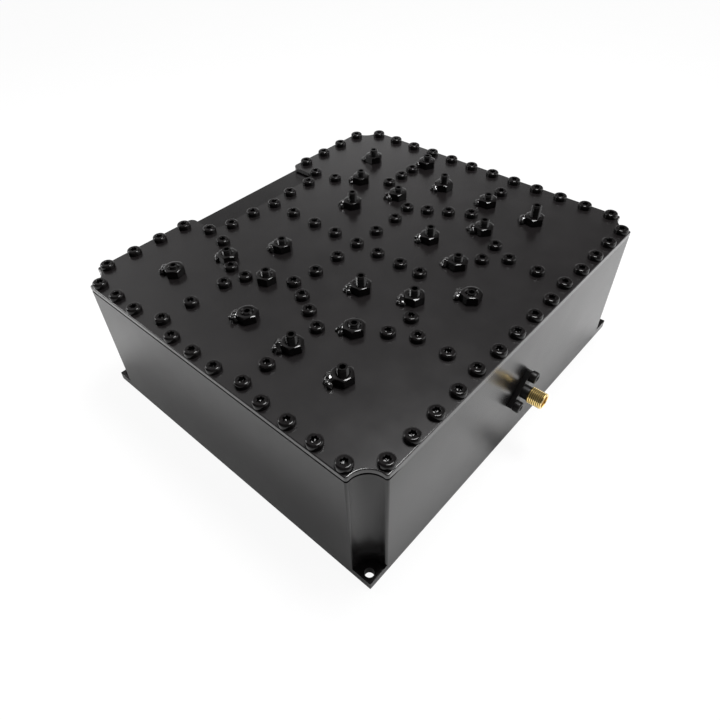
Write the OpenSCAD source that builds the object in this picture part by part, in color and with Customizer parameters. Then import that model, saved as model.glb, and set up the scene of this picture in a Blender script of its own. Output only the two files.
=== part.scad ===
// Cavity duplexer: a milled housing with eleven coaxial cavities in a chain on each
// side of a common antenna cavity, closed by a screwed cover that carries the tuning
// screws. Millimetres. X runs along the housing, Z up, and the origin is the middle
// of the base. Places inside are given from the centre plane X = 0 and from the
// front face, the one with the antenna port.

/* [Housing] */
// Length of the housing along X
body_l = 168; // [166:1:200]
// Depth of the housing along Y
body_w = 146.5; // [145:0.5:175]
// Height of the housing without its cover
body_h = 53.5; // [50:0.5:66]
// Thickness of the floor under the cavities
floor_t = 7; // [6.5:0.5:10]
// Thickness of the outer walls
wall_t = 6; // [5.5:0.25:7.5]
// Thickness of the partition walls
rib_t = 4; // [3:0.5:6]
// Diameter of the screw bosses along the partition walls
boss_d = 7; // [6:0.5:8]

/* [Corner notches and mounting ears] */
// Radius of a corner notch
notch_r = 7; // [6:0.5:9]
// Distance of a notch's centre from both outer faces
notch_in = 1; // [0.5:0.25:2]
// Wall left between a notch and its cavity
notch_wall = 4; // [3:0.5:6]
// Height of the mounting ear under a notch
ear_t = 3.5; // [2.5:0.5:6]
// Diameter of the hole in an ear
ear_hole_d = 3.4; // [3:0.1:3.8]
// Distance of an ear's hole from both outer faces
ear_hole_in = 2.9; // [2.8:0.1:4]

/* [Cover] */
// Thickness of the cover plate
cover_t = 2.5; // [2:0.25:4]
// Width of the cut-out in the cover's back edge
relief_w = 60; // [52:1:64]
// Depth of the cut-out from the back edge
relief_d = 15; // [14:0.5:16.5]
// Radius of the cut-out's inner corners
relief_in_r = 5.5; // [3:0.5:7]
// Radius of the cover's corners beside the cut-out
relief_out_r = 2.5; // [1:0.5:3]

/* [Cover screws] */
// Thread diameter
screw_d = 3; // [2.5:0.1:3.5]
// Thread length under the head
screw_len = 10; // [8:1:14]
// Diameter of the cylindrical head
cap_d = 5.5; // [5:0.1:5.8]
// Height of the head
cap_h = 2; // [1.8:0.1:3]
// Width across the flats of the head's hexagon socket
cap_socket = 2.5; // [1.5:0.1:3]
// Distance of the edge screws from the outer faces
edge_in = 3; // [2.8:0.1:3.4]
// Distance of the first edge screw from the housing's corner
edge_end = 11.2; // [10.8:0.1:13]
// Number of screws along the front edge
front_count = 14; // [8:1:16]
// Number of screws along each side edge
side_count = 12; // [8:1:14]
// Number of screws along the back edge on each side of the cut-out
back_count = 4; // [3:1:5]
// Distance of the back screw next to the cut-out from the cut-out's side
back_gap = 6.4; // [6:0.1:8]

/* [Tuning screws] */
// Thread diameter
tuner_d = 4; // [3.5:0.1:4.5]
// Length of a screw over a resonator
tuner_len = 20; // [18:0.5:24]
// Length of a screw over a coupling window
window_tuner_len = 25; // [22:0.5:30]
// Width across the flats of a screw's hexagon socket
tuner_socket = 2; // [1.5:0.1:2.5]
// Width of a lock nut across its flats
nut_af = 7; // [6.5:0.1:8]
// Height of a lock nut
nut_h = 3.2; // [2.4:0.1:4]
// Radius of the largest drop of sealing compound
drop_r = 2.6; // [2:0.1:3]

/* [Resonators] */
// Diameter of a resonator's post
post_d = 14; // [12:0.5:16]
// Height of a resonator
post_h = 38; // [30:0.5:39]
// Diameter of the bore that the tuning screw dips into
post_bore_d = 9; // [8.5:0.5:10]
// Thickness of the foot under the bore
post_foot = 3; // [2.5:0.5:5]
// Diameter of the collar at the open end
collar_d = 20; // [17:0.5:22]
// Thickness of the collar
collar_t = 2.5; // [1.5:0.5:4]
// Thread diameter of the screw in the foot
post_screw_d = 4; // [3:0.5:4]

/* [Ports] */
// Height of a port's axis over the base
port_z = 27; // [22:0.5:32]
// Length of a port's flange
flange_l = 15.8; // [15:0.1:17]
// Width of the flange
flange_w = 5.7; // [5.4:0.1:7]
// Thickness of the flange
flange_t = 1.65; // [1.2:0.05:2.5]
// Distance between the flange's two screws
flange_pitch = 12.2; // [11.6:0.1:12.6]
// Turn of the flange about the port's axis
flange_turn = 45; // [0:5:90]
// Outer diameter of the coupling thread
barrel_d = 6.35; // [6:0.05:6.6]
// Length of the coupling thread
barrel_len = 5.8; // [5:0.1:7]
// Diameter of the neck between the flange and the thread
neck_d = 5.3; // [5.1:0.1:5.8]
// Distance that the port stands out of the housing
port_out = 10.2; // [9.5:0.1:12]
// Diameter of the insulator
insulator_d = 4.1; // [3.8:0.1:4.3]
// Diameter of the centre contact
contact_d = 1.27; // [1.1:0.01:1.5]

/* [Hidden] */
$fn = 64;
// Radial clearance of a thread in its hole, and of a push fit
fit_gap = 0.05;
// Radial clearance of a tuning screw in the cover and in its nut
tuner_gap = 0.08;
// Extra length that takes a cut past a face
cut = 1;

half_l = body_l / 2;
half_w = body_w / 2;
cover_top = body_h + cover_t;
// Height that reaches past the top of the milled pocket
tall = floor_t + body_h + cut;

// Inside of the housing that the layout is drawn for, which spreads with it
drawn_l = 156;
drawn_w = 134.5;
drawn_wall = 6;
function spread(p) = [
    p.x * (body_l - 2 * wall_t) / drawn_l,
    wall_t + (p.y - drawn_wall) * (body_w - 2 * wall_t) / drawn_w];
function spread_all(points) = [for (p = points) spread(p)];

// Resonators of one half in the order of the chain, and the windows between them
resonator_at = spread_all(
    [[58.3, 119.6], [20.8, 99.5], [57.6, 77.9], [57.7, 33.0], [20.7, 58.1]]);
window_at = spread_all(
    [[39.3, 110.9], [38.9, 88.9], [57.9, 55.3], [39.0, 45.1], [13.2, 39.8]]);
// Partition wall between the outer cavities of the right half, with the cross coupling
right_wall = spread_all([[45.7, 99.5], [54.1, 99.1], [61.9, 99.0]]);
cross_at = right_wall[2] + [7.9, -2.6];
// The common cavity behind the antenna port
common_at = spread([0, 24.9]);
// How far each tuning screw stands over its nut, in the order above
left_stands = [0.8, 1.6, 0.3, 2.6, 3.4, 1.6, 1.8, 3.0, 0.9, 2.2];
right_stands = [2.5, 3.6, 3.3, 4.7, 3.0, 2.2, 1.6, 1.6, 2.4, 1.8];
common_stand = 0.1;
cross_stand = 2.0;
// Size of each drop of sealing compound as a part of the largest
left_drops = [0.95, 0.9, 1, 1, 0.9, 0.75, 0.7, 1, 0.8, 0.95];
right_drops = [0.7, 0.9, 0.8, 0.95, 0.9, 0.75, 0.9, 0.7, 0.95, 0.9];
// Direction from each nut to its drop, which lies on one of the nut's flats
left_turns = [102, 128, 124, 138, 124, 120, 80, 124, 122, 131];
right_turns = [118, 123, 143, 110, 124, 125, 132, 120, 109, 109];
common_turn = 100;
cross_turn = 120;

function left_of(points) = [for (p = points) [-p.x, p.y]];
resonators = concat(left_of(resonator_at), resonator_at, [common_at]);
tuners = concat(
    left_of(resonator_at), left_of(window_at), resonator_at, window_at, [common_at, cross_at]);
stands = concat(left_stands, right_stands, [common_stand, cross_stand]);
drops = concat(left_drops, right_drops, [0.9, 0.7]);
turns = concat(left_turns, right_turns, [common_turn, cross_turn]);
per_half = len(resonator_at);
tuner_count = len(tuners);
resonator_count = len(resonators);

// Partition walls: each point of a run carries a cover screw
bay_wall = spread_all([[28.2, 14.8], [28.2, 26.8], [32.7, 35.7]]);
bay_stub = spread([21.8, 34.5]);
middle_wall = spread_all(
    [[11.6, 78.4], [23.7, 78.3], [33.7, 79.8], [37.3, 71.8], [41.6, 64.0], [46.2, 55.7]]);
side_stub = spread([69.0, 55.6]);
centre_wall = spread_all(
    [for (y = [47.5, 56.8, 67.9, 78.6, 90.5, 102.2, 114.9]) [0, y]]);
left_wall = spread_all([[-65.6, 99.8], [-50.7, 99.4]]);
// The left wall ends in a fork beside the windows on both sides of it
left_fork = [left_of(window_at)[0] + [-3.2, -5.6], left_of(window_at)[1] + [-4.2, 7.4]];
// Two screws of the left edge stand further in, over the partition walls they hold
front_boss_in = 4.8;
back_boss_in = 6.3;
left_in_front = [front_boss_in - half_l, side_stub.y];
left_in_back = [back_boss_in - half_l, left_wall[0].y + 0.5];
// Screws round the cut-out of the cover, from its front edge to its corner
relief_y = body_w - relief_d;
ledge_y = relief_y - edge_in;
relief_corner = [relief_w / 2, relief_y];
ledge_corner = relief_corner + [1.5, 1.0];
ledge_stub = relief_corner + [3.2, -9.9];
ledge_half = [[11.0, ledge_y], [relief_w / 2 - 7.2, ledge_y], ledge_corner, ledge_stub];
ledge_middle = [0, ledge_y - 1.5];
half_screws = concat(bay_wall, [bay_stub], middle_wall, [side_stub], ledge_half);
centre_screws = concat(centre_wall, [ledge_middle]);
inner_screws_at = concat(
    half_screws, left_of(half_screws), centre_screws,
    [left_in_front, left_in_back], left_wall, left_fork, right_wall);

// Edge screws, from the corners inwards
front_pitch = (body_l - 2 * edge_end) / (front_count - 1);
side_pitch = (body_w - 2 * edge_end) / (side_count - 1);
back_pitch = (half_l - edge_end - relief_w / 2 - back_gap) / (back_count - 1);
// The front screws in line with the bay walls stand a little further in
rib_screw_in = 0.8;
rib_in = edge_in + rib_screw_in;
front_edge = [for (i = [0 : front_count - 1])
    let (x = edge_end - half_l + i * front_pitch)
    [x, abs(abs(x) - bay_wall[0].x) < 1 ? rib_in : edge_in]];
// On the left side two places are taken by screws of the partition walls
side_edge_y = [for (i = [0 : side_count - 1]) edge_end + i * side_pitch];
right_edge = [for (y = side_edge_y) [half_l - edge_in, y]];
left_edge = [for (y = side_edge_y)
    if (abs(y - left_in_front.y) > cap_d && abs(y - left_in_back.y) > cap_d)
    [edge_in - half_l, y]];
back_half = [for (i = [0 : back_count - 1])
    [relief_w / 2 + back_gap + i * back_pitch, body_w - edge_in]];
edge_screws_at = concat(front_edge, left_edge, right_edge, back_half, left_of(back_half));

// Cap screws
cap_chamfer = 0.6;
cap_socket_depth = 1.2;
// Depth of a blind hole past the screw's end, and play of a screw in a plain hole
tip_room = 0.5;
hole_play = 0.4;
screw_hole_depth = screw_len - cover_t + tip_room;
cover_hole_d = screw_d + hole_play;
post_cap_d = 7;
post_cap_h = 4;
post_grip = 4.5;
post_screw_len = post_foot + post_grip;

// Lock nuts and tuning screws
flat_angle = 30;
nut_rim = 0.2;
nut_face_d = nut_af - 2 * nut_rim;
tuner_socket_depth = 2.5;
tuner_chamfer = 0.4;
// A drop is a ball on the nut's flat with a smaller lobe, placed in shares of its radius
ball_at = [0.45, 0, 0.35];
lobe_at = [0.9, 0.5, 0.1];
lobe_r = 0.8;

// Ports: two screws hold each flange
port_screw_d = 2.5;
port_grip = 4;
port_screw_len = flange_t + port_grip;
port_cap_d = 4.5;
port_cap_h = 2.5;
barrel_from = port_out - barrel_len;
barrel_chamfer = 0.3;
mouth_play = 0.5;
mouth_d = insulator_d + mouth_play;
mouth_depth = 1.9;
socket_d = 0.95;
socket_depth = 3;
// Metal left between a contact's end and the bore of its resonator
contact_stop = 0.5;
ports = ["antenna", "left", "right"];
port_x = [0, -resonator_at[0].x, resonator_at[0].x];
// Distance from the wall that carries each port to the middle of its resonator
port_reach = [common_at.y, body_w - resonator_at[0].y, body_w - resonator_at[0].y];

// Puts its children at a place given from the centre plane and the front face
module at(p, z = 0) {
    translate([p.x, p.y - half_w, z])
        children();
}

module at_corners(inward) {
    for (sx = [-1, 1], sy = [-1, 1])
        translate([sx * (half_l - inward), sy * (half_w - inward), 0])
            children();
}

// Hexagon with flats this far apart
module hexagon(af, h) {
    cylinder(d = af / cos(30), h = h, $fn = 6);
}

// Cylinder with both ends chamfered
module turned(d, h, chamfer) {
    cylinder(d1 = d - 2 * chamfer, d2 = d, h = chamfer);
    translate([0, 0, chamfer])
        cylinder(d = d, h = h - 2 * chamfer);
    translate([0, 0, h - chamfer])
        cylinder(d1 = d, d2 = d - 2 * chamfer, h = chamfer);
}

// Cap screw with the underside of its head at Z = 0
module cap_screw(d, length, head_d, head_h, socket) {
    difference() {
        union() {
            cylinder(d = head_d, h = head_h - cap_chamfer);
            translate([0, 0, head_h - cap_chamfer])
                cylinder(d1 = head_d, d2 = head_d - 2 * cap_chamfer, h = cap_chamfer);
            translate([0, 0, -length])
                cylinder(d = d, h = length + cap_chamfer);
        }
        translate([0, 0, head_h - cap_socket_depth])
            hexagon(socket, cap_socket_depth + cut);
    }
}

module corner_notches(z, h) {
    at_corners(notch_in)
        translate([0, 0, z])
            cylinder(r = notch_r, h = h);
}

// Straight partition walls from point to point, taller than the pocket that they divide
module wall_run(points) {
    for (i = [1 : len(points) - 1]) {
        a = points[i - 1];
        b = points[i];
        at(a)
            rotate([0, 0, atan2(b.y - a.y, b.x - a.x)])
                translate([0, -rib_t / 2, 0])
                    cube([norm(b - a), rib_t, tall]);
    }
}

module half_walls() {
    wall_run(concat([[bay_wall[0].x, 0]], bay_wall));
    wall_run([bay_wall[1], bay_stub]);
    wall_run(concat([[0, middle_wall[0].y]], middle_wall));
    wall_run([side_stub, [half_l, side_stub.y]]);
    wall_run([ledge_corner, ledge_stub]);
}

module partition_walls() {
    half_walls();
    mirror([1, 0, 0])
        half_walls();
    wall_run([centre_wall[0], ledge_middle]);
    wall_run(concat([left_in_back], left_wall, [(left_fork[0] + left_fork[1]) / 2]));
    wall_run(left_fork);
    wall_run(right_wall);
    for (p = inner_screws_at)
        at(p)
            cylinder(d = boss_d, h = tall);
}

// What is milled away: the inside of the housing but for the walls left standing
module pocket() {
    difference() {
        translate([wall_t - half_l, wall_t - half_w, floor_t])
            cube([body_l - 2 * wall_t, body_w - 2 * wall_t, body_h]);
        at_corners(notch_in)
            cylinder(r = notch_r + notch_wall, h = tall);
        // Solid metal under the cut-out of the cover and along its edge
        translate([-relief_w / 2 - edge_in, relief_y - 2 * edge_in - half_w, 0])
            cube([relief_w + 2 * edge_in, relief_d + 2 * edge_in, tall]);
        partition_walls();
    }
}

// Puts its children on a port's axis, with +Z pointing out of the housing's wall
module at_port(i) {
    side = i == 0 ? -1 : 1;
    translate([port_x[i], side * half_w, port_z])
        rotate([-side * 90, 0, 0])
            rotate([0, 0, side * -flange_turn])
                children();
}

module port_openings() {
    for (i = [0 : len(ports) - 1])
        at_port(i) {
            translate([0, 0, -wall_t - cut])
                cylinder(d = insulator_d + 2 * fit_gap, h = wall_t + 2 * cut);
            for (s = [-1, 1])
                translate([s * flange_pitch / 2, 0, -port_grip - tip_room])
                    cylinder(d = port_screw_d + 2 * fit_gap, h = port_grip + tip_room + cut);
        }
}

module housing() {
    color("dimgray")
        difference() {
            translate([-half_l, -half_w, 0])
                cube([body_l, body_w, body_h]);
            pocket();
            corner_notches(ear_t, body_h);
            at_corners(ear_hole_in)
                translate([0, 0, -cut])
                    cylinder(d = ear_hole_d, h = ear_t + 2 * cut);
            for (p = concat(edge_screws_at, inner_screws_at))
                at(p, body_h - screw_hole_depth)
                    cylinder(d = screw_d + 2 * fit_gap, h = screw_hole_depth + cut);
            for (p = resonators)
                at(p, floor_t - post_grip - tip_room)
                    cylinder(d = post_screw_d + 2 * fit_gap, h = floor_t);
            port_openings();
        }
}

// Rounded corners of one side of the cut-out, inside and at the cover's edge
module relief_side() {
    translate([relief_w / 2 - relief_in_r, relief_y + relief_in_r - half_w, -cut])
        cylinder(r = relief_in_r, h = cover_t + 2 * cut);
    difference() {
        translate([relief_w / 2 - cut, half_w - relief_out_r, -cut])
            cube([relief_out_r + cut, relief_out_r + cut, cover_t + 2 * cut]);
        translate([relief_w / 2 + relief_out_r, half_w - relief_out_r, -2 * cut])
            cylinder(r = relief_out_r, h = cover_t + 4 * cut);
    }
}

// The cut-out in the cover's back edge
module relief() {
    translate([-relief_w / 2, relief_y + relief_in_r - half_w, -cut])
        cube([relief_w, relief_d, cover_t + 2 * cut]);
    translate([relief_in_r - relief_w / 2, relief_y - half_w, -cut])
        cube([relief_w - 2 * relief_in_r, relief_d, cover_t + 2 * cut]);
    relief_side();
    mirror([1, 0, 0])
        relief_side();
}

module cover_plate() {
    color("black")
        translate([0, 0, body_h])
            difference() {
                translate([-half_l, -half_w, 0])
                    cube([body_l, body_w, cover_t]);
                corner_notches(-cut, cover_t + 2 * cut);
                relief();
                for (p = concat(edge_screws_at, inner_screws_at))
                    at(p, -cut)
                        cylinder(d = cover_hole_d, h = cover_t + 2 * cut);
                for (p = tuners)
                    at(p, -cut)
                        cylinder(d = tuner_d + 2 * tuner_gap, h = cover_t + 2 * cut);
            }
}

module cover_screws(places) {
    for (p = places)
        at(p, cover_top)
            cap_screw(screw_d, screw_len, cap_d, cap_h, cap_socket);
}

module edge_screws() {
    color("dimgray")
        cover_screws(edge_screws_at);
}

module inner_screws() {
    color("dimgray")
        cover_screws(inner_screws_at);
}

// Hexagon nut with its upper corners turned down to a cone
module lock_nut() {
    difference() {
        intersection() {
            hexagon(nut_af, nut_h);
            cylinder(d1 = nut_face_d + 2 * nut_h, d2 = nut_face_d, h = nut_h);
        }
        translate([0, 0, -cut])
            cylinder(d = tuner_d + 2 * tuner_gap, h = nut_h + 2 * cut);
    }
}

module lock_nuts() {
    color("gray")
        for (i = [0 : tuner_count - 1])
            at(tuners[i], cover_top)
                rotate([0, 0, turns[i] - flat_angle])
                    lock_nut();
}

// A two-lobed drop that lies on the cover against a flat of its nut
module sealing_drop(r) {
    side = 4 * r;
    difference() {
        translate([nut_af / 2, 0, 0]) {
            translate(r * ball_at)
                sphere(r = r);
            translate(r * lobe_at)
                sphere(r = r * lobe_r);
        }
        // The cover below it and the nut beside it
        translate([nut_af / 2 - side, -side / 2, -side])
            cube([2 * side, side, side]);
        translate([nut_af / 2 - side, -side / 2, -cut])
            cube(side);
    }
}

module sealing_drops() {
    color("silver")
        for (i = [0 : tuner_count - 1])
            at(tuners[i], cover_top)
                rotate([0, 0, turns[i]])
                    sealing_drop(drop_r * drops[i]);
}

// Threaded rod with a hexagon socket, its upper end this far over the nut
module tuning_screw(i) {
    window = i % (2 * per_half) >= per_half || i == tuner_count - 1;
    length = window ? window_tuner_len : tuner_len;
    color("gray")
        at(tuners[i], cover_top + nut_h + stands[i] - length)
            difference() {
                turned(tuner_d, length, tuner_chamfer);
                translate([0, 0, length - tuner_socket_depth])
                    hexagon(tuner_socket, tuner_socket_depth + cut);
            }
}

// Post with a collar and a bore from above; a port's contact is soldered in its side
module resonator(i) {
    port = i == resonator_count - 1 ? 0 : i == 0 ? 1 : i == per_half ? 2 : -1;
    color("lightgray")
        at(resonators[i], floor_t)
            difference() {
                union() {
                    cylinder(d = post_d, h = post_h - collar_t / 2);
                    translate([0, 0, post_h - collar_t])
                        cylinder(d = collar_d, h = collar_t);
                }
                translate([0, 0, post_foot])
                    cylinder(d = post_bore_d, h = post_h);
                translate([0, 0, -cut])
                    cylinder(d = post_screw_d + hole_play, h = post_foot + 2 * cut);
                if (port >= 0)
                    translate([0, 0, port_z - floor_t])
                        rotate([port == 0 ? 90 : -90, 0, 0])
                            cylinder(d = contact_d + 2 * fit_gap, h = post_d);
            }
}

module resonator_screws() {
    color("gray")
        for (p = resonators)
            at(p, floor_t + post_foot)
                cap_screw(post_screw_d, post_screw_len, post_cap_d, post_cap_h, cap_socket);
}

// Flange, neck and threaded barrel in one piece, bored for the insulator
module port_shell(i) {
    color("gold")
        at_port(i)
            difference() {
                union() {
                    translate([-flange_l / 2, -flange_w / 2, 0])
                        cube([flange_l, flange_w, flange_t]);
                    cylinder(d = neck_d, h = port_out - barrel_len / 2);
                    translate([0, 0, barrel_from])
                        turned(barrel_d, barrel_len, barrel_chamfer);
                }
                translate([0, 0, -cut])
                    cylinder(d = insulator_d + 2 * fit_gap, h = port_out + 2 * cut);
                translate([0, 0, port_out - mouth_depth])
                    cylinder(d = mouth_d, h = mouth_depth + cut);
                for (s = [-1, 1])
                    translate([s * flange_pitch / 2, 0, -cut])
                        cylinder(d = port_screw_d + 2 * fit_gap, h = flange_t + 2 * cut);
            }
}

module port_insulator(i) {
    color("white")
        at_port(i)
            difference() {
                translate([0, 0, -wall_t])
                    cylinder(d = insulator_d, h = wall_t + port_out - mouth_depth);
                translate([0, 0, -wall_t - cut])
                    cylinder(d = contact_d + 2 * fit_gap, h = wall_t + port_out + 2 * cut);
            }
}

// Rod from the port's mouth, where it is a socket, into the wall of its resonator
module port_contact(i) {
    inner_end = port_reach[i] - post_bore_d / 2 - contact_stop;
    outer_end = port_out - mouth_depth;
    color("gold")
        at_port(i)
            difference() {
                translate([0, 0, -inner_end])
                    cylinder(d = contact_d, h = inner_end + outer_end);
                translate([0, 0, outer_end - socket_depth])
                    cylinder(d = socket_d, h = socket_depth + cut);
            }
}

module port_screws() {
    color("black")
        for (i = [0 : len(ports) - 1], s = [-1, 1])
            at_port(i)
                translate([s * flange_pitch / 2, 0, flange_t])
                    cap_screw(port_screw_d, port_screw_len, port_cap_d, port_cap_h, tuner_socket);
}

housing();
cover_plate();
edge_screws();
inner_screws();
lock_nuts();
sealing_drops();
resonator_screws();
port_screws();
for (i = [0 : len(ports) - 1]) {
    port_shell(i);
    port_insulator(i);
    port_contact(i);
}
for (i = [0 : resonator_count - 1])
    resonator(i);
for (i = [0 : tuner_count - 1])
    tuning_screw(i);
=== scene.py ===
# %% [markdown]
# # A cavity duplexer
# The real thing is a radio filter: one milled block with cavities inside, closed by a
# plate with ninety-one screws and twenty-two tuning screws in lock nuts. Its outside is
# coated black, apart from the gold threads of its ports.
# The CAD frame gives the places. This script adds what a CAD solid leaves out: rounded
# edges, threads, driver sockets, lumps in the sealing compound, and the finishes.

# %% Open the frame
import bpy
import bmesh
import math
import random
from mathutils import Matrix, Vector, noise


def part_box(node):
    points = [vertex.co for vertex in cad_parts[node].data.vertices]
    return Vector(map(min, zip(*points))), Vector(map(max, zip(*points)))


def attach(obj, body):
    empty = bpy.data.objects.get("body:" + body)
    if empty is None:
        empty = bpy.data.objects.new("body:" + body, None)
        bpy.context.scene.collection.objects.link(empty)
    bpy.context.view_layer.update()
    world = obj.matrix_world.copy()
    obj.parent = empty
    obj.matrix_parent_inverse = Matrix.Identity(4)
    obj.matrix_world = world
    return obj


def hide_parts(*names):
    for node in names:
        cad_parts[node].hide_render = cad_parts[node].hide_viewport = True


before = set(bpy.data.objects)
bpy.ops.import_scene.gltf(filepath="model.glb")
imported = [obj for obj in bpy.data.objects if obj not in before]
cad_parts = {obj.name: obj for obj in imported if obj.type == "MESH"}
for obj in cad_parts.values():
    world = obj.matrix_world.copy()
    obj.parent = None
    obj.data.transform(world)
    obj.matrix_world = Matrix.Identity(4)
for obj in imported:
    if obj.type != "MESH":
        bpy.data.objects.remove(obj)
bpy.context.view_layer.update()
scene = bpy.context.scene
MM = 0.001

# %% [markdown]
# ## Camera
# The photo looks down on the near corner from close by, so its lines converge strongly.
# A camera could be placed by eye, but the edges of the housing were measured in the
# photo instead, and the turn, height and lens below are what fits them. The small shift
# says that the photo was probably cropped a little off centre.

# %% Camera at the photo's viewing angle
FRAME_PX = 720
FOCAL_PX = 588.098
CENTRE_PX = (348.863, 358.413)
SENSOR = 36.0
AIM = Vector((-9.2894, 3.9374, 0)) * MM
DISTANCE = 268.1207 * MM
AZIMUTH, ELEVATION, ROLL = -2.3704, 0.7823, -0.0498

towards = Vector((math.cos(ELEVATION) * math.cos(AZIMUTH),
                  math.cos(ELEVATION) * math.sin(AZIMUTH),
                  math.sin(ELEVATION)))
level = Vector((0, 0, 1)).cross(towards).normalized()
upward = towards.cross(level)
right = math.cos(ROLL) * level + math.sin(ROLL) * upward
up = math.cos(ROLL) * upward - math.sin(ROLL) * level

lens = bpy.data.cameras.new("photo_camera")
lens.sensor_width = SENSOR
lens.lens = SENSOR * FOCAL_PX / FRAME_PX
lens.shift_x = (FRAME_PX / 2 - CENTRE_PX[0]) / FRAME_PX
lens.shift_y = (CENTRE_PX[1] - FRAME_PX / 2) / FRAME_PX
lens.clip_start, lens.clip_end = 0.01, 20
camera = bpy.data.objects.new("photo_camera", lens)
camera.matrix_world = (Matrix.Translation(AIM + DISTANCE * towards)
                       @ Matrix((right, up, towards)).transposed().to_4x4())
scene.collection.objects.link(camera)
scene.camera = camera
scene.view_settings.view_transform = "Standard"
print("camera at", [round(v / MM) for v in camera.location], "mm, lens", round(lens.lens, 1))

# %% [markdown]
# ## Small helpers
# Most pieces here are turned parts. Their half profile is drawn once, as a designer
# would sketch it for a lathe, and spun about Z. A finished piece keeps its object at
# the origin, so it moves with the CAD body that it rides on and nothing slides.

# %% Turn a half profile about Z
def turned(profile, steps):
    """The half profile, as (radius, height) in mm, spun once round in this many steps."""
    bm = bmesh.new()
    line = [bm.verts.new((r * MM, 0, z * MM)) for r, z in profile]
    edges = [bm.edges.new(pair) for pair in zip(line, line[1:])]
    bmesh.ops.spin(bm, geom=line + edges, cent=(0, 0, 0), axis=(0, 0, 1), dvec=(0, 0, 0),
                   angle=math.tau, steps=steps, use_merge=True, use_duplicate=False)
    bmesh.ops.remove_doubles(bm, verts=bm.verts, dist=1e-7)
    return bm


# %% Set copies of a model out in their places
def set_out(model, places):
    """One mesh with a copy of model at each of these matrices. The model is used up."""
    bmesh.ops.recalc_face_normals(model, faces=model.faces)
    one = bpy.data.meshes.new("one")
    model.to_mesh(one)
    model.free()
    out = bmesh.new()
    for place in places:
        held = len(out.verts)
        out.from_mesh(one)
        out.verts.ensure_lookup_table()
        bmesh.ops.transform(out, matrix=place, verts=out.verts[held:])
    bpy.data.meshes.remove(one)
    return out


# %% Make a mesh a piece of the object
CRISP = math.radians(35)
FLAT = math.radians(1)
LARGE = 60 * MM ** 2


def is_soft(edge):
    """Shaded across: not at a sharp angle, and not where a large flat face ends."""
    if not edge.is_manifold or edge.calc_face_angle() > CRISP:
        return False
    return edge.calc_face_angle() < FLAT or max(f.calc_area() for f in edge.link_faces) < LARGE


def piece(name, bm, finish, body="housing", stands_for=()):
    """The mesh, used up here, rides on this body and may stand for CAD nodes."""
    for face in bm.faces:
        face.smooth = True
    for edge in bm.edges:
        edge.smooth = is_soft(edge)
    mesh = bpy.data.meshes.new(name)
    bm.to_mesh(mesh)
    bm.free()
    mesh.materials.append(finish)
    obj = bpy.data.objects.new(name, mesh)
    scene.collection.objects.link(obj)
    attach(obj, body)
    if stands_for:
        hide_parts(*stands_for)


# %% Where the loose solids of a CAD node are
def solids(node):
    """(lowest corner, highest corner, points) of each solid, in the order of the mesh."""
    bm = bmesh.new()
    bm.from_mesh(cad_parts[node].data)
    bmesh.ops.remove_doubles(bm, verts=bm.verts, dist=1e-6)
    seen, found = set(), []
    for first in bm.verts:
        if first in seen:
            continue
        seen.add(first)
        island, rim = [], [first]
        while rim:
            vert = rim.pop()
            island.append(vert.co.copy())
            for edge in vert.link_edges:
                other = edge.other_vert(vert)
                if other not in seen:
                    seen.add(other)
                    rim.append(other)
        low = Vector([min(p[a] for p in island) for a in range(3)])
        high = Vector([max(p[a] for p in island) for a in range(3)])
        found.append((low, high, island))
    bm.free()
    return found


def middle(low, high):
    return (low + high) / 2


# %% [markdown]
# ## Finishes
# The black on the real part is a thin, slightly satin coat. It is nearly black when lit
# from above, and what is seen on it is mostly the room and the floor, mirrored weakly
# face-on and strongly at a low angle. A Principled shader does this by itself when its
# colour is nearly black and its roughness low. Noise makes the coat a little uneven, in
# tint, in gloss and in grain, because a single flat value looks like plastic film.

# %% Building blocks for a finish
def new_finish(name, roughness, metallic=0.0, mirror=0.5):
    """mirror is how much it mirrors face-on, with 0.5 for plain varnish or plastic."""
    finish = bpy.data.materials.new(name)
    finish.use_nodes = True
    shader = finish.node_tree.nodes["Principled BSDF"]
    shader.inputs["Roughness"].default_value = roughness
    shader.inputs["Metallic"].default_value = metallic
    shader.inputs["Specular IOR Level"].default_value = mirror
    return finish, shader


def grain(finish, scale, detail=3.0):
    """Noise on the piece's own coordinates, this many bumps to the metre."""
    tree = finish.node_tree
    coords = tree.nodes.new("ShaderNodeTexCoord")
    texture = tree.nodes.new("ShaderNodeTexNoise")
    texture.inputs["Scale"].default_value = scale
    texture.inputs["Detail"].default_value = detail
    tree.links.new(coords.outputs["Object"], texture.inputs["Vector"])
    return texture.outputs["Fac"]


def tint(finish, shader, fac, dark, light):
    """The colour wanders between these two."""
    ramp = finish.node_tree.nodes.new("ShaderNodeValToRGB")
    ramp.color_ramp.elements[0].position, ramp.color_ramp.elements[1].position = 0.3, 0.7
    ramp.color_ramp.elements[0].color = (*dark, 1)
    ramp.color_ramp.elements[1].color = (*light, 1)
    finish.node_tree.links.new(fac, ramp.inputs["Fac"])
    finish.node_tree.links.new(ramp.outputs["Color"], shader.inputs["Base Color"])


def uneven_gloss(finish, shader, fac, least, most):
    """The roughness wanders between these two."""
    spread = finish.node_tree.nodes.new("ShaderNodeMapRange")
    spread.inputs["From Min"].default_value, spread.inputs["From Max"].default_value = 0.3, 0.7
    spread.inputs["To Min"].default_value, spread.inputs["To Max"].default_value = least, most
    finish.node_tree.links.new(fac, spread.inputs["Value"])
    finish.node_tree.links.new(spread.outputs["Result"], shader.inputs["Roughness"])


def relief(finish, shader, fac, height):
    """Bumps of this height in metres."""
    bump = finish.node_tree.nodes.new("ShaderNodeBump")
    bump.inputs["Strength"].default_value = 1.0
    bump.inputs["Distance"].default_value = height
    finish.node_tree.links.new(fac, bump.inputs["Height"])
    finish.node_tree.links.new(bump.outputs["Normal"], shader.inputs["Normal"])


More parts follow.
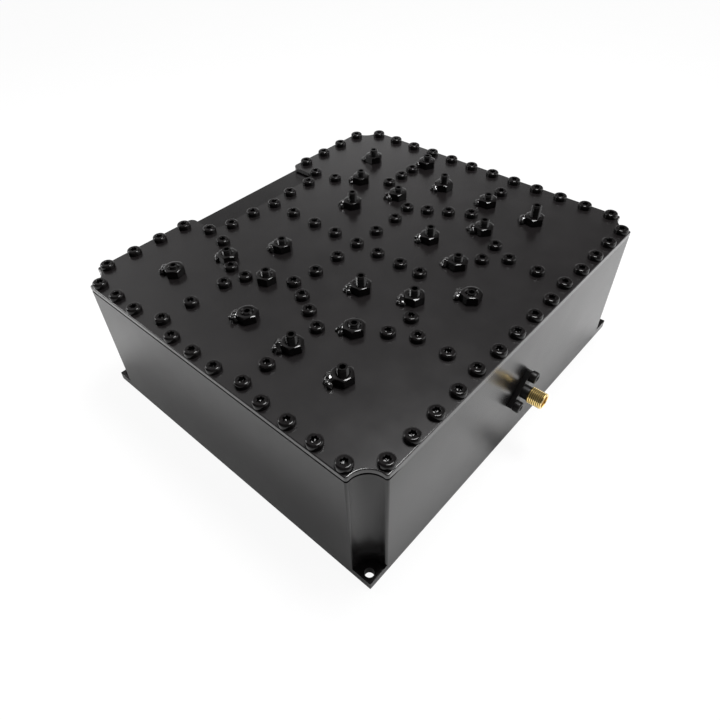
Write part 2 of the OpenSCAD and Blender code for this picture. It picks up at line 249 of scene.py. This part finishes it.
# %% Black coat, blackened steel, compound, gold, silver and white plastic
def coat(name, dark, light, gloss, grain_height, mirror=0.5):
    finish, shader = new_finish(name, gloss[0], mirror=mirror)
    tint(finish, shader, grain(finish, 45, 4), dark, light)
    uneven_gloss(finish, shader, grain(finish, 90, 5), *gloss)
    relief(finish, shader, grain(finish, 2600, 2), grain_height)
    return finish


black_coat = coat("black_coat", (0.0040, 0.0036, 0.0037), (0.0060, 0.0054, 0.0056),
                  (0.24, 0.27), 0.0000003, mirror=0.22)
cover_coat = coat("cover_coat", (0.0045, 0.0038, 0.0040), (0.0065, 0.0056, 0.0058),
                  (0.21, 0.25), 0.0000003)


def small_part(name, dark, light, gloss, scale=300, grain_height=0.000002, metallic=1.0,
               mirror=0.5):
    finish, shader = new_finish(name, gloss[0], metallic, mirror)
    tint(finish, shader, grain(finish, scale, 4), dark, light)
    uneven_gloss(finish, shader, grain(finish, scale * 3, 4), *gloss)
    relief(finish, shader, grain(finish, scale * 12, 2), grain_height)
    return finish


screw_black = small_part("screw_black", (0.0025, 0.0022, 0.0022), (0.006, 0.0052, 0.0054),
                         (0.07, 0.12), metallic=0.0, mirror=0.17)
nut_black = small_part("nut_black", (0.0025, 0.0022, 0.0022), (0.005, 0.0045, 0.0046),
                       (0.07, 0.12), metallic=0.0, mirror=0.24)
compound_black = small_part("compound_black", (0.003, 0.0027, 0.0027),
                            (0.006, 0.0055, 0.0055), (0.03, 0.07), 600, 0.00001,
                            metallic=0.0)
port_black = small_part("port_black", (0.003, 0.0026, 0.0027), (0.005, 0.0044, 0.0045),
                        (0.35, 0.5), metallic=0.0, mirror=0.2)
gold = small_part("gold_plate", (0.70, 0.49, 0.17), (0.83, 0.64, 0.28), (0.18, 0.25))
silver = small_part("silver_plate", (0.80, 0.79, 0.76), (0.93, 0.92, 0.90), (0.22, 0.38))
white_plastic = small_part("white_insulator", (0.80, 0.80, 0.78), (0.88, 0.88, 0.87),
                           (0.4, 0.55), 200, 0.000004, metallic=0.0)
print("finishes:", len(bpy.data.materials))

# %% [markdown]
# ## Housing and cover
# Both are milled and then coated, so no edge on them is sharp, and that is what catches
# the light. The shapes are right in the CAD, so a copy of each node is merged and only
# its outer edges are bevelled. A Bevel modifier would take every hole as well, and a
# texture that fakes a round edge would be missing from the exported mesh. The notches
# end in a wide rounding, which needs the narrow facets beside it dissolved first.
# The cover's lower edge is broken wider, which leaves the dark seam under it. At the
# front the plate sits flush and no seam shows, so there the edge is hardly broken.

# %% Find the edges by where they lie
NOTCH_R, NOTCH_IN = 7.0 * MM, 1.0 * MM
CUT_HALF, CUT_DEPTH = 30.0 * MM, 15.0 * MM
CUT_IN_R, CUT_OUT_R = 5.5 * MM, 2.5 * MM
LOW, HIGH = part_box("housing")
CUT_FRONT = HIGH.y - CUT_DEPTH
# how near a point has to be to count as on a plane, and on a faceted arc
HIT = 0.02 * MM
ROUND_HIT = 0.06 * MM
# how wide the rounding is where a notch ends
SOFT = 1.0 * MM


def in_notch(p):
    """On the wall of one of the four corner notches."""
    across = Vector((HIGH.x - NOTCH_IN - abs(p.x), HIGH.y - NOTCH_IN - abs(p.y)))
    return abs(across.length - NOTCH_R) < ROUND_HIT


def in_cut_out(p):
    """On the rim of the cut-out in the cover's back edge."""
    x, y = abs(p.x), p.y
    if y < CUT_FRONT - HIT or x > CUT_HALF + CUT_OUT_R + HIT:
        return False
    inner = Vector((x - CUT_HALF + CUT_IN_R, y - CUT_FRONT - CUT_IN_R)).length
    outer = Vector((x - CUT_HALF - CUT_OUT_R, y - HIGH.y + CUT_OUT_R)).length
    return (abs(y - CUT_FRONT) < HIT or abs(x - CUT_HALF) < HIT
            or abs(inner - CUT_IN_R) < ROUND_HIT or abs(outer - CUT_OUT_R) < ROUND_HIT)


def near_notch_end(p, reach):
    """Near where the wall of a notch meets an outer face."""
    along = NOTCH_IN + math.sqrt(NOTCH_R ** 2 - NOTCH_IN ** 2)
    x, y = HIGH.x - abs(p.x), HIGH.y - abs(p.y)
    return min(math.hypot(x, y - along), math.hypot(x - along, y)) < reach


def outside(p):
    """On an outer face or a notch's wall, or on the rounding between them."""
    return (abs(p.x) > HIGH.x - HIT or abs(p.y) > HIGH.y - HIT or in_notch(p)
            or near_notch_end(p, SOFT + HIT))


def at_front(p):
    return p.y < LOW.y + HIT


# %% Break them pass by pass
SHARP = math.radians(50)


def upright(a, b):
    return abs(a.z - b.z) > 1 * MM


def broken_edges(node, name, finish, passes):
    """A copy of the node. Each pass is (which edges, by their two ends; width; steps)."""
    bm = bmesh.new()
    bm.from_mesh(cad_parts[node].data)
    bmesh.ops.remove_doubles(bm, verts=bm.verts, dist=2e-6)
    bmesh.ops.dissolve_limit(bm, angle_limit=math.radians(0.3), verts=bm.verts, edges=bm.edges)
    # facets narrower than the wide rounding would stop it short
    narrow = [e for e in bm.edges if upright(*[v.co for v in e.verts])
              and all(in_notch(v.co) and near_notch_end(v.co, 1.1 * SOFT)
                      and not near_notch_end(v.co, HIT) for v in e.verts)]
    bmesh.ops.dissolve_edges(bm, edges=narrow, use_verts=True)
    for takes, width, steps in passes:
        sharp = [e for e in bm.edges if e.is_manifold and e.is_convex
                 and e.calc_face_angle() > SHARP
                 and takes(e.verts[0].co, e.verts[1].co)]
        bmesh.ops.bevel(bm, geom=sharp, offset=width, offset_type="OFFSET", affect="EDGES",
                        segments=steps, profile=0.5, material=-1, clamp_overlap=False)
        print(name, "edges broken:", len(sharp), "faces:", len(bm.faces))
    # a wide rounding can bulge by a hair where it meets a facet
    low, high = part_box(node)
    for vert in bm.verts:
        vert.co = [min(max(v, a), b) for v, a, b in zip(vert.co, low, high)]
    piece(name, bm, finish, stands_for=[node])


COVER_LOW, COVER_TOP = [corner.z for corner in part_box("cover_plate")]
EAR_TOP = 3.5 * MM
EAR_SIDE, EAR_RIM = 0.4 * MM, 0.2 * MM
COVER_RIM, SEAM, TIGHT = 0.35 * MM, 0.8 * MM, 0.08 * MM
print("cover from", round(COVER_LOW / MM, 2), "to", round(COVER_TOP / MM, 2), "mm")

broken_edges("housing", "milled_housing", black_coat, [
    (lambda a, b: upright(a, b) and in_notch(a) and in_notch(b), SOFT, 6),
    (lambda a, b: upright(a, b) and outside(a) and outside(b) and a.z + b.z < 2 * EAR_TOP,
     EAR_SIDE, 3),
    (lambda a, b: max(a.z, b.z) < EAR_TOP + HIT and outside(a) and outside(b)
     and not upright(a, b), EAR_RIM, 3)])
broken_edges("cover_plate", "cover", cover_coat, [
    (lambda a, b: upright(a, b) and in_notch(a) and in_notch(b), SOFT, 6),
    (lambda a, b: min(a.z, b.z) > COVER_TOP - HIT and outside(a) and outside(b),
     COVER_RIM, 5),
    (lambda a, b: max(a.z, b.z) < COVER_LOW + HIT and not (at_front(a) and at_front(b))
     and (outside(a) or in_cut_out(a)) and (outside(b) or in_cut_out(b)), SEAM, 1),
    (lambda a, b: max(a.z, b.z) < COVER_LOW + HIT and at_front(a) and at_front(b), TIGHT, 1)])

# %% [markdown]
# ## Cap screws
# The cover is held by small pan-head screws with a six-lobed socket. Their sides are
# plain, and the upper edge is rounded, which gives the bright ring in the photo.
# The profile is turned in thirty-six steps, and then the socket's points are moved in
# and out six times round, so one spin makes the head, the socket and the shank. Each
# screw is turned by its own angle, as a hand leaves them.

# %% One screw, and its copies
SOCKET_MEAN, SOCKET_WAVE, SOCKET_DEPTH = 1.19, 0.16, 1.35
HEAD_EDGE = 0.8
SHANK_R = 1.5
draw = random.Random(7)


def cap_screw(head_r, head_h, shank_r, length, scale=1.0):
    """Underside of the head at Z = 0, socket above, shank below."""
    wall = SOCKET_MEAN * scale
    edge_r = HEAD_EDGE * scale
    floor = head_h - SOCKET_DEPTH * scale
    rounding = [(head_r - edge_r + edge_r * math.cos(t), head_h - edge_r + edge_r * math.sin(t))
                for t in [math.radians(a) for a in (80, 60, 40, 20, 0)]]
    profile = ([(0, floor - 0.3 * scale), (0.82 * wall, floor), (wall, floor + 0.05),
                (wall, head_h - 0.12), (wall + 0.12, head_h - 0.02), (head_r - edge_r, head_h)]
               + rounding
               + [(head_r, 0.1), (head_r - 0.1, 0), (shank_r, 0), (shank_r, 0.4 - length),
                  (shank_r - 0.4, -length), (0, -length)])
    bm = turned(profile, 36)
    for vert in bm.verts:
        r = math.hypot(vert.co.x, vert.co.y) / MM
        if 0.3 * wall < r < wall + 0.2 and vert.co.z > (floor - 0.1) * MM:
            wave = 1 + SOCKET_WAVE * math.cos(6 * math.atan2(vert.co.y, vert.co.x))
            vert.co.x *= wave
            vert.co.y *= wave
    return bm


def stood_at(points, height):
    """A place at each point, each turned by its own angle."""
    return [Matrix.Translation((p.x, p.y, height))
            @ Matrix.Rotation(draw.uniform(0, math.tau), 4, "Z") for p in points]


for node in ("edge_screws", "inner_screws"):
    spots = solids(node)
    low, high, _ = spots[0]
    head_h, length = (high.z - COVER_TOP) / MM, (COVER_TOP - low.z) / MM
    screws = set_out(cap_screw((high.x - low.x) / 2 / MM, head_h, SHANK_R, length),
                     stood_at([middle(low, high) for low, high, _ in spots], COVER_TOP))
    print(node, len(spots), "screws", round(head_h, 2), "mm high,", len(screws.faces), "faces")
    piece(f"{node}_with_sockets", screws, screw_black, stands_for=[node])

# %% [markdown]
# ## Lock nuts
# A lock nut is a hexagon whose corners are turned down to a cone on both faces, with a
# countersunk thread. A six-sided cylinder would have no cone, and cutting one needs a
# boolean. Here a wide ring is spun in forty-eight steps, its outer points are moved in
# to the hexagon, and their height follows the cone, which leaves the curved edge on
# each flat that real nuts have.

# %% One nut, and its copies
NUT_AF, NUT_H, NUT_BORE = 7.0, 3.2, 2.08
NUT_FACE, NUT_CONE = 3.3, math.radians(30)


def lock_nut():
    """Its flats' middles at 0, 60, 120 degrees and so on."""
    outer = 4.5
    bm = turned([(NUT_BORE, 0.3), (NUT_BORE + 0.3, 0), (NUT_FACE, 0), (outer, 0.2),
                 (outer, NUT_H - 0.2), (NUT_FACE, NUT_H), (NUT_BORE + 0.35, NUT_H),
                 (NUT_BORE, NUT_H - 0.35), (NUT_BORE, 0.3)], 48)
    for vert in bm.verts:
        r = math.hypot(vert.co.x, vert.co.y)
        if r < (outer - 0.1) * MM:
            continue
        turn = math.degrees(math.atan2(vert.co.y, vert.co.x))
        reach = NUT_AF / 2 / math.cos(math.radians((turn + 30) % 60 - 30))
        drop = (reach - NUT_FACE) * math.tan(NUT_CONE)
        vert.co.x *= reach * MM / r
        vert.co.y *= reach * MM / r
        vert.co.z = (NUT_H - drop if vert.co.z > NUT_H / 2 * MM else drop) * MM
    return bm


nut_places = []
for low, high, points in solids("lock_nuts"):
    centre = middle(low, high)
    corner = max(points, key=lambda p: (p.xy - centre.xy).length)
    turn = math.atan2(corner.y - centre.y, corner.x - centre.x) + math.radians(30)
    nut_places.append(Matrix.Translation((centre.x, centre.y, COVER_TOP))
                      @ Matrix.Rotation(turn, 4, "Z"))
nuts = set_out(lock_nut(), nut_places)
print("lock nuts:", len(nut_places))
piece("chamfered_lock_nuts", nuts, nut_black, stands_for=["lock_nuts"])

# %% [markdown]
# ## Tuning screws
# A tuning screw is a fine-threaded rod with a hexagon socket. The thread shows above
# the nut, so it is real: one zigzag line is spun once round while it climbs by one
# pitch, and the seam closes because the line repeats itself. Stacked rings would be
# simpler but have no helix. The ends are cut with a plane, and the socket is extruded
# from the rim that the cut leaves.

# %% A threaded rod
def at_end(bm, z):
    """The open edges at this height."""
    return [e for e in bm.edges if e.is_boundary
            and all(abs(v.co.z - z * MM) < 1e-6 for v in e.verts)]


def thread(crest, root, pitch, length, chamfer, steps=24):
    """A helical thread from Z = 0 to length, open at both ends."""
    bm = bmesh.new()
    turns = math.ceil(length / pitch) + 2
    line = [bm.verts.new(((crest if n % 2 else root) * MM, 0, (n / 2 - 1) * pitch * MM))
            for n in range(2 * turns + 1)]
    edges = [bm.edges.new(pair) for pair in zip(line, line[1:])]
    bmesh.ops.spin(bm, geom=line + edges, cent=(0, 0, 0), axis=(0, 0, 1),
                   dvec=(0, 0, pitch * MM / steps), angle=math.tau, steps=steps,
                   use_merge=False, use_duplicate=False)
    bmesh.ops.remove_doubles(bm, verts=bm.verts, dist=2e-6)
    for vert in bm.verts:
        z = vert.co.z / MM
        most = (crest - chamfer + max(min(z, length - z, chamfer), 0)) * MM
        r = math.hypot(vert.co.x, vert.co.y)
        if r > most:
            vert.co.x *= most / r
            vert.co.y *= most / r
    for z, way in ((0, -1), (length, 1)):
        bmesh.ops.bisect_plane(bm, geom=bm.verts[:] + bm.edges[:] + bm.faces[:], dist=1e-8,
                               plane_co=(0, 0, z * MM), plane_no=(0, 0, way),
                               clear_outer=True)
    return bm


def ring_in(bm, edges, radius_at, z):
    """The rim is extruded to this radius, which may differ by angle, and height."""
    made = bmesh.ops.extrude_edge_only(bm, edges=edges)["geom"]
    for vert in [g for g in made if isinstance(g, bmesh.types.BMVert)]:
        turn = math.atan2(vert.co.y, vert.co.x)
        r = radius_at(turn) * MM
        vert.co = Vector((r * math.cos(turn), r * math.sin(turn), z * MM))
    return [g for g in made if isinstance(g, bmesh.types.BMEdge) and g.is_boundary]


TUNER_R, TUNER_ROOT, TUNER_PITCH = 2.0, 1.62, 0.7
TUNER_SOCKET, TUNER_SOCKET_DEPTH = 2.0, 2.5
TUNER_CHAMFER = 0.4


def hexagon_radius(turn):
    """From the axis to the socket's wall at this angle."""
    return TUNER_SOCKET / 2 / math.cos((turn % math.radians(60)) - math.radians(30))


def tuning_screw(length):
    bm = thread(TUNER_R, TUNER_ROOT, TUNER_PITCH, length, TUNER_CHAMFER)
    rim = at_end(bm, length)
    rim = ring_in(bm, rim, hexagon_radius, length)
    rim = ring_in(bm, rim, hexagon_radius, length - TUNER_SOCKET_DEPTH)
    bmesh.ops.holes_fill(bm, edges=rim, sides=0)
    bmesh.ops.holes_fill(bm, edges=at_end(bm, 0), sides=0)
    return bm


# %% One rod for each joint
tuners = sorted(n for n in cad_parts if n.startswith("tuning_screw_"))
for node in tuners:
    low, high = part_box(node)
    centre = middle(low, high)
    rod = tuning_screw((high.z - low.z) / MM)
    bmesh.ops.recalc_face_normals(rod, faces=rod.faces)
    place = (Matrix.Translation((centre.x, centre.y, low.z))
             @ Matrix.Rotation(draw.uniform(0, math.tau), 4, "Z"))
    bmesh.ops.transform(rod, matrix=place, verts=rod.verts)
    number = node.rsplit("_", 1)[1]
    piece(f"threaded_tuner_{number}", rod, nut_black, body=node,
          stands_for=[node])
print("tuning screws:", len(tuners))

# %% [markdown]
# ## Drops of sealing compound
# Once the filter is tuned, a drop of compound is put against each nut. It is thick and
# sets glossy, in a few lumps that have run together. Metaballs would fuse them too, but
# here the result has to be a mesh that can be cut flat, so balls are joined by a voxel
# remesh, stirred with noise, smoothed and cut off at the cover with a plane.

# %% Lumps run together
DROP_HEIGHT = 1.35
VOXEL = 0.17 * MM


def lumps_of(low, high, nut):
    """Balls against the flat of this nut in the box of a CAD drop, as (centre, radius)."""
    out = (middle(low, high) - nut).xy.normalized()
    along = Vector((-out.y, out.x))
    r = (high.z - low.z) / DROP_HEIGHT

    def ball(outward, sideways, lift, size):
        reach = nut.xy + out * (NUT_AF / 2 * MM + outward * r) + along * sideways * r
        return Vector((*reach, COVER_TOP + lift * r)), size * r

    made = [ball(0.30, 0, 0.30, 0.85)]
    for side in (-1, 1):
        made.append(ball(draw.uniform(0.1, 0.5), side * draw.uniform(0.5, 0.85),
                         draw.uniform(0.1, 0.35), draw.uniform(0.45, 0.65)))
    made.append(ball(draw.uniform(0.75, 1.0), draw.uniform(-0.3, 0.5), 0.1,
                     draw.uniform(0.4, 0.55)))
    for _ in range(3):
        made.append(ball(draw.uniform(0.0, 1.0), draw.uniform(-0.8, 0.8),
                         draw.uniform(0.4, 0.8), draw.uniform(0.22, 0.36)))
    return made


balls = bmesh.new()
drop_boxes = [(low, high) for low, high, _ in solids("sealing_drops")]
nut_centres = [place.to_translation() for place in nut_places]
for low, high in drop_boxes:
    nut = min(nut_centres, key=lambda c: (c - middle(low, high)).xy.length)
    for centre, r in lumps_of(low, high, nut):
        bmesh.ops.create_icosphere(balls, subdivisions=2, radius=r,
                                   matrix=Matrix.Translation(centre))
loose = bpy.data.meshes.new("balls")
balls.to_mesh(loose)
balls.free()
heap = bpy.data.objects.new("balls", loose)
scene.collection.objects.link(heap)
fuse = heap.modifiers.new("fuse", "REMESH")
fuse.mode, fuse.voxel_size = "VOXEL", VOXEL
bpy.context.view_layer.update()
fused = heap.evaluated_get(bpy.context.evaluated_depsgraph_get()).to_mesh()
drops = bmesh.new()
drops.from_mesh(fused)
bpy.data.objects.remove(heap)
bpy.data.meshes.remove(loose)

# %% Stir, smooth and seat them
SWIRL_WIDTH, SWIRL_DEPTH = 0.9, 0.24
noise.seed_set(7)
for vert in drops.verts:
    vert.co += noise.noise_vector(vert.co / (SWIRL_WIDTH * MM)) * SWIRL_DEPTH * MM
for _ in range(4):
    bmesh.ops.smooth_vert(drops, verts=drops.verts, factor=0.5, use_axis_x=True,
                          use_axis_y=True, use_axis_z=True)
bmesh.ops.bisect_plane(drops, geom=drops.verts[:] + drops.edges[:] + drops.faces[:],
                       dist=1e-8, plane_co=(0, 0, COVER_TOP), plane_no=(0, 0, -1),
                       clear_outer=True)
bmesh.ops.holes_fill(drops, edges=[e for e in drops.edges if e.is_boundary], sides=0)
bmesh.ops.recalc_face_normals(drops, faces=drops.faces)
print("drops:", len(drop_boxes), "faces:", len(drops.faces))
piece("compound_drops", drops, compound_black,
      stands_for=["sealing_drops"])

# %% [markdown]
# ## Ports
# Each port is a small flange with two screws, a plain neck and a fine coupling thread.
# On the real part the flange and neck were coated with the housing, and only the thread
# was kept clear, so it is still gold. One CAD node holds all three, so it is replaced
# by two pieces, each with its own finish.

# %% Port parts about their own axis
FLANGE, FLANGE_CORNER, FLANGE_RIM = (15.8, 5.7, 1.65), 0.7, 0.18
NECK_R, BARREL_FROM, PORT_OUT = 2.65, 4.4, 10.2
BARREL_R, BARREL_ROOT, BARREL_PITCH = 3.175, 3.05, 0.7056
BARREL_CHAMFER, BARREL_STEPS = 0.3, 48
BORE_R, MOUTH_R, MOUTH_FROM = 2.1, 2.3, 8.3


def flange_and_neck():
    bm = bmesh.new()
    bmesh.ops.create_cube(bm, size=1, matrix=Matrix.Translation((0, 0, FLANGE[2] / 2 * MM))
                          @ Matrix.Diagonal([s * MM for s in FLANGE] + [1]))
    corners = [e for e in bm.edges if upright(*[v.co for v in e.verts])]
    bmesh.ops.bevel(bm, geom=corners, offset=FLANGE_CORNER * MM, offset_type="OFFSET",
                    affect="EDGES", segments=4, profile=0.5, material=-1)
    rims = [e for e in bm.edges if min(v.co.z for v in e.verts) > (FLANGE[2] - 0.1) * MM]
    bmesh.ops.bevel(bm, geom=rims, offset=FLANGE_RIM * MM, offset_type="OFFSET",
                    affect="EDGES", segments=2, profile=0.5, material=-1)
    neck = turned([(BORE_R, 0.2), (NECK_R, 0.2), (NECK_R, BARREL_FROM), (BORE_R, BARREL_FROM),
                   (BORE_R, 0.2)], 48)
    bmesh.ops.recalc_face_normals(neck, faces=neck.faces)
    tube = bpy.data.meshes.new("neck")
    neck.to_mesh(tube)
    neck.free()
    bm.from_mesh(tube)
    bpy.data.meshes.remove(tube)
    return bm


def barrel():
    length = PORT_OUT - BARREL_FROM
    bm = thread(BARREL_R, BARREL_ROOT, BARREL_PITCH, length, BARREL_CHAMFER, BARREL_STEPS)
    rim, foot = at_end(bm, length), at_end(bm, 0)
    for r, z in ((MOUTH_R + 0.15, length), (MOUTH_R, length - 0.15),
                 (MOUTH_R, MOUTH_FROM - BARREL_FROM), (BORE_R, MOUTH_FROM - BARREL_FROM),
                 (BORE_R, 0)):
        rim = ring_in(bm, rim, lambda turn: r, z)
    bmesh.ops.triangle_fill(bm, edges=rim + foot, use_beauty=True)
    bmesh.ops.translate(bm, verts=bm.verts, vec=(0, 0, BARREL_FROM * MM))
    return bm


# %% Put together at each opening of the housing
PORT_Z, PORT_PITCH = 27.0, 12.2
ports = {"antenna": -1, "left": 1, "right": 1}
screw_spots = []
for name, side in ports.items():
    low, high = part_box(f"{name}_port_insulator")
    spot = Vector((middle(low, high).x, side * HIGH.y, PORT_Z * MM))
    place = (Matrix.Translation(spot) @ Matrix.Rotation(math.radians(-side * 90), 4, "X")
             @ Matrix.Rotation(math.radians(-side * 45), 4, "Z"))
    piece(f"{name}_port_flange", set_out(flange_and_neck(), [place]), port_black,
          stands_for=[f"{name}_port_shell"])
    piece(f"{name}_port_thread", set_out(barrel(), [place]), gold)
    screw_spots += [place @ Matrix.Translation((s * PORT_PITCH / 2 * MM, 0, FLANGE[2] * MM))
                    @ Matrix.Rotation(draw.uniform(0, math.tau), 4, "Z") for s in (-1, 1)]
port_screw = cap_screw(head_r=2.25, head_h=2.5, shank_r=1.25, length=5.65, scale=0.8)
piece("port_cap_screws", set_out(port_screw, screw_spots), port_black,
      stands_for=["port_screws"])
print("ports:", len(ports), "with", len(screw_spots), "screws")

# %% [markdown]
# ## The CAD nodes that stay
# The insulators and contacts in the ports and the resonators inside are right as they
# are. They only need their finish.

# %% Finish what the CAD already shows
finished = 0
for node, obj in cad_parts.items():
    finish = None
    if node.startswith("resonator"):
        finish = silver
    elif node.endswith("_insulator"):
        finish = white_plastic
    elif node.endswith("_contact"):
        finish = gold
    if finish:
        obj.data.materials.clear()
        obj.data.materials.append(finish)
        finished += 1
print("CAD nodes with their own finish:", finished)

# %% [markdown]
# ## Floor and light
# The photo is a product shot on white. A camera ray sees the floor and the room as
# white, while the floor still takes a faint shadow. What the black coat mirrors matters
# more than what falls on it: in an even room all its sides would turn the same grey. So
# for all other rays the room is a backdrop behind the object and at its right, bright
# at its foot and dimmer above, with the camera's side nearly dark. One small round lamp
# overhead gives the points of light on screws and nuts, and a weaker one behind lights
# the strip of floor that the left side mirrors.

# %% Floor
# the shares of plain white in what a camera ray and a mirrored ray see of it
FLOOR_WHITE, FLOOR_IN_GLOSS = 0.92, 0.08


def sheet_of_paper():
    finish, shader = new_finish("paper", 0.9)
    tree = finish.node_tree
    tint(finish, shader, grain(finish, 30), (0.90, 0.90, 0.90), (0.94, 0.94, 0.94))
    path = tree.nodes.new("ShaderNodeLightPath")
    shares = []
    for ray, share in (("Is Camera Ray", FLOOR_WHITE), ("Is Glossy Ray", FLOOR_IN_GLOSS)):
        seen = tree.nodes.new("ShaderNodeMath")
        seen.operation = "MULTIPLY"
        seen.inputs[1].default_value = share
        tree.links.new(path.outputs[ray], seen.inputs[0])
        shares.append(seen.outputs[0])
    both = tree.nodes.new("ShaderNodeMath")
    both.operation = "ADD"
    tree.links.new(shares[0], both.inputs[0])
    tree.links.new(shares[1], both.inputs[1])
    glow = tree.nodes.new("ShaderNodeEmission")
    mix = tree.nodes.new("ShaderNodeMixShader")
    tree.links.new(both.outputs[0], mix.inputs["Fac"])
    tree.links.new(shader.outputs["BSDF"], mix.inputs[1])
    tree.links.new(glow.outputs["Emission"], mix.inputs[2])
    tree.links.new(mix.outputs["Shader"], tree.nodes["Material Output"].inputs["Surface"])
    return finish


ground = bmesh.new()
bmesh.ops.create_grid(ground, x_segments=8, y_segments=8, size=4,
                      matrix=Matrix.Translation((0, 0, LOW.z - 0.05 * MM)))
floor_mesh = bpy.data.meshes.new("floor")
ground.to_mesh(floor_mesh)
ground.free()
floor_mesh.materials.append(sheet_of_paper())
floor = bpy.data.objects.new("floor", floor_mesh)
scene.collection.objects.link(floor)

# %% Room, graded by direction
world = bpy.data.worlds.new("room")
scene.world = world
world.use_nodes = True
room = world.node_tree
coords = room.nodes.new("ShaderNodeTexCoord")


def towards_share(direction, start, end, low, high):
    """A value that goes from low to high as the view direction nears this one."""
    near = room.nodes.new("ShaderNodeVectorMath")
    near.operation = "DOT_PRODUCT"
    near.inputs[1].default_value = direction
    ramp = room.nodes.new("ShaderNodeMapRange")
    ramp.interpolation_type = "SMOOTHSTEP"
    for socket, value in (("From Min", start), ("From Max", end),
                          ("To Min", low), ("To Max", high)):
        ramp.inputs[socket].default_value = value
    room.links.new(coords.outputs["Generated"], near.inputs[0])
    room.links.new(near.outputs["Value"], ramp.inputs["Value"])
    return ramp.outputs["Result"]


def combined(operation, a, b):
    """Two values of the room's nodes made one."""
    step = room.nodes.new("ShaderNodeMath")
    step.operation = operation
    room.links.new(a, step.inputs[0])
    room.links.new(b, step.inputs[1])
    return step.outputs[0]


def compass(azimuth, elevation):
    """The direction at these angles in degrees, from +X towards +Y, and up."""
    a, e = math.radians(azimuth), math.radians(elevation)
    return Vector((math.cos(a) * math.cos(e), math.sin(a) * math.cos(e), math.sin(e)))


# The backdrop is bright at its foot and dimmer above, brightest at the left and dimmest
# high at the right, with a bright patch low at its right end, and stops beside the
# object. The camera's side of the room has only a faint glow.
backdrop = towards_share(compass(0, 90), 0.10, 0.42, 1.5, 0.36)
higher = towards_share(compass(0, 90), 0.62, 0.85, 0.0, 0.25)
patch = towards_share(compass(42, 20), 0.970, 1.0, 0.0, 0.35)
right_side = towards_share(compass(-15, 38), 0.75, 0.95, 1.0, 0.35)
left_side = towards_share(compass(100, 35), 0.80, 0.97, 1.0, 2.2)
behind = towards_share(compass(25, 0), -0.15, 0.35, 0.0, 1.0)
strength = combined("ADD", combined("ADD", backdrop, higher), patch)
strength = combined("MULTIPLY", combined("MULTIPLY", strength, right_side), left_side)
strength = combined("MULTIPLY", strength, behind)
low_at_right = towards_share(compass(-52, 18), 0.82, 0.95, 0.0, 2.4)
camera_side = towards_share(compass(235, 25), 0.1, 0.7, 0.0, 0.16)
strength = combined("ADD", combined("ADD", strength, low_at_right), camera_side)
seen = room.nodes.new("ShaderNodeLightPath").outputs["Is Camera Ray"]
strength = combined("MAXIMUM", strength, seen)
room.links.new(strength, room.nodes["Background"].inputs["Strength"])
room.nodes["Background"].inputs["Color"].default_value = (1, 1, 1, 1)
print("room nodes:", len(room.nodes))


# %% Lamps
def lamp(name, spot, aim, size, power):
    """A round soft lamp that faces this aim, with its power in watts."""
    light = bpy.data.lights.new(name, "AREA")
    light.shape, light.size, light.energy = "DISK", size, power
    obj = bpy.data.objects.new(name, light)
    obj.location = spot
    obj.rotation_euler = (Vector(spot) - Vector(aim)).to_track_quat("Z", "Y").to_euler()
    scene.collection.objects.link(obj)


lamp("overhead", (0.099, -0.048, 0.53), (0, 0, 0), 0.2, 3.7)
lamp("behind_left", (-0.20, 0.38, 0.27), (-0.10, 0.03, 0), 0.16, 0.65)

# %% [markdown]
# ## The size
# The looks add nothing to the reach of the CAD model.

# %% Last call
bpy.context.view_layer.update()
